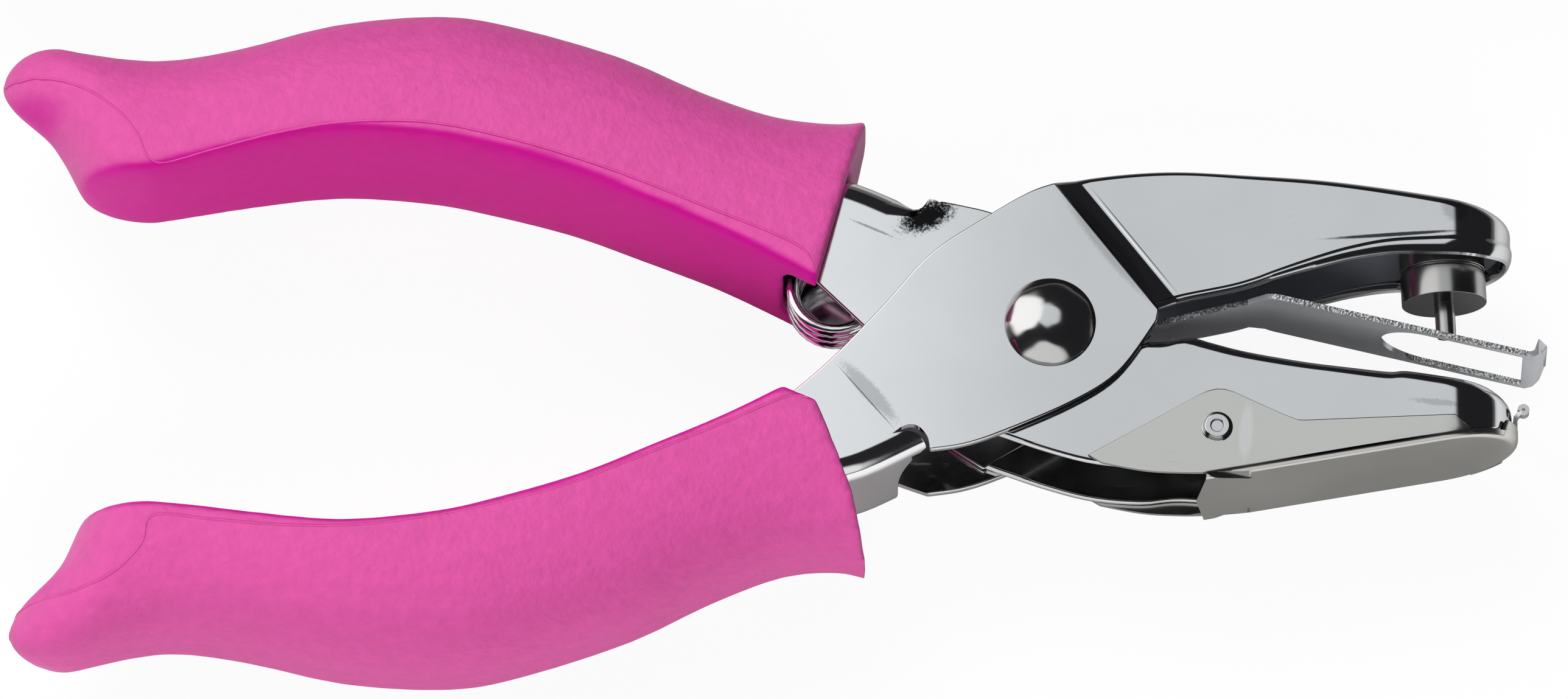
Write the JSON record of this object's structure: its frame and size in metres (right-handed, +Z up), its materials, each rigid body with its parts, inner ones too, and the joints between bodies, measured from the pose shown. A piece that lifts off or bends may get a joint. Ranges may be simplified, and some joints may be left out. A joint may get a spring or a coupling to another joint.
{
  "type": "hand punch",
  "caption": "Plier-style single-hole hand punch with crossed sheet-steel levers, a coil return spring, a hinged chip tray and soft moulded grips.",
  "frame": {"origin": "middle of the tool seen from above, on the surface that it lies on", "axes": "+X from the grips to the jaws, +Y from the lower grip to the upper one, +Z up along the pivot rivet"},
  "size_m": [0.1448, 0.0648, 0.0228],
  "materials": {
    "chrome_lever": "bright polished",
    "rivet": "bright polished",
    "spacer": "turned",
    "holder": "turned",
    "pin": "ground",
    "die": "ground",
    "stripper": "satin",
    "tray": "satin nickel",
    "tray_pin": "satin",
    "spring": "bright drawn wire",
    "grip": "soft matte with a faint grain"
  },
  "bodies": {
    "lower_lever": {"lower_jaw_lever": "chrome_lever", "pivot_rivet": "rivet", "pivot_spacer": "spacer", "die_ring": "die", "stripper_plate": "stripper", "tray_hinge_pin": "tray_pin", "return_spring": "spring", "upper_grip": "grip"},
    "upper_lever": {"upper_jaw_lever": "chrome_lever", "punch_holder": "holder", "punch_pin": "pin", "lower_grip": "grip"},
    "tray": {"chip_tray": "tray"}
  },
  "joints": [
    {"name": "squeeze", "type": "hinge", "parent": "lower_lever", "child": "upper_lever", "pos_m": [0.02572, 0.00059, 0.0114], "axis": [0, 0, -1], "range_deg": [0, 11], "stiffness_Nm_per_rad": 2, "springref_deg": -8.59, "deforming": ["return_spring"]},
    {"name": "tray_hinge", "type": "hinge", "parent": "lower_lever", "child": "tray", "pos_m": [0.04132, -0.00951, 0.0114], "axis": [0, 0, -1], "range_deg": [0, 20]}
  ]
}
